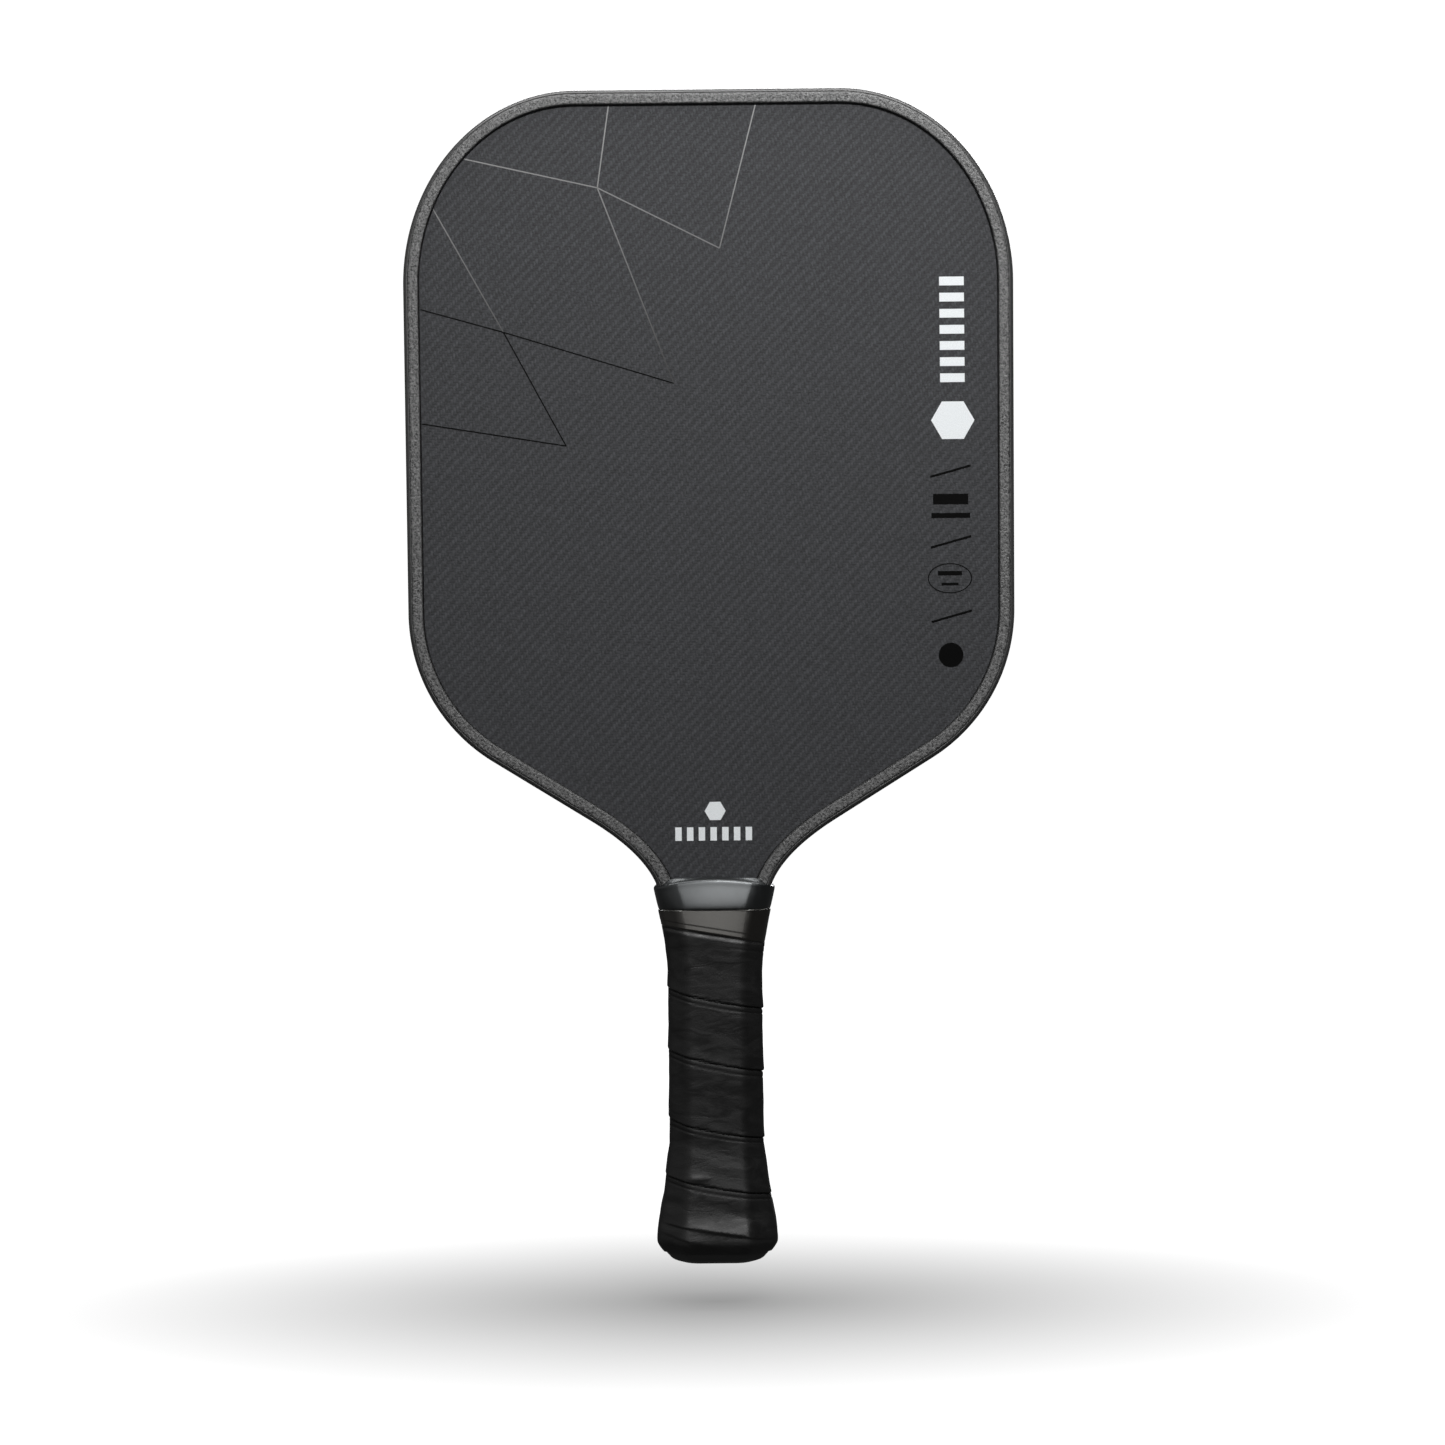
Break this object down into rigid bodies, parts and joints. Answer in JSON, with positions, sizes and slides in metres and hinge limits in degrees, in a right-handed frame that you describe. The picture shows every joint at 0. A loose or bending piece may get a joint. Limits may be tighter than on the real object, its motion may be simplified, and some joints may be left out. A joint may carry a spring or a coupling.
{
  "type": "pickleball paddle",
  "caption": "Pickleball paddle with a textured carbon face, a moulded edge guard and a long eight-sided wrapped handle that flares at the butt.",
  "frame": {"origin": "centre of the flat end of the butt, at the bottom of the handle", "axes": "+Z runs from the butt along the handle to the top of the head, the front face looks towards -Y, and +X is to the right of somebody who looks at the front face"},
  "size_m": [0.2084, 0.0388, 0.4005],
  "materials": {
    "carbon_face": "raw woven carbon laminate with a fine peel-ply grit",
    "face_print_light": "flat pale screen-printed ink",
    "face_print_dark": "satin black screen-printed ink",
    "guard_plastic": "moulded thermoplastic with a pebbled grain",
    "collar_rubber": "glossy moulded rubber",
    "gloss_tape": "glossy vinyl tape",
    "wrap_polyurethane": "smooth, slightly tacky polyurethane grip",
    "cap_plastic": "moulded plastic",
    "badge_plastic": "blank moulded disc",
    "pallet_plastic": "foamed plastic",
    "honeycomb": "extruded polypropylene honeycomb",
    "edge_foam": "closed-cell foam",
    "scrim_veil": "non-woven polyester veil",
    "staple_wire": "galvanised wire"
  },
  "bodies": {
    "root": {"honeycomb_core": "honeycomb", "perimeter_foam": "edge_foam", "front_scrim": "scrim_veil", "rear_scrim": "scrim_veil", "front_face_sheet": "carbon_face", "rear_face_sheet": "carbon_face", "edge_guard": "guard_plastic", "front_handle_pallet": "pallet_plastic", "rear_handle_pallet": "pallet_plastic", "butt_cap": "cap_plastic", "butt_cap_badge": "badge_plastic", "front_cap_staple": "staple_wire", "rear_cap_staple": "staple_wire", "grip_wrap": "wrap_polyurethane", "finishing_tape": "gloss_tape", "handle_collar": "collar_rubber"}
  },
  "joints": []
}
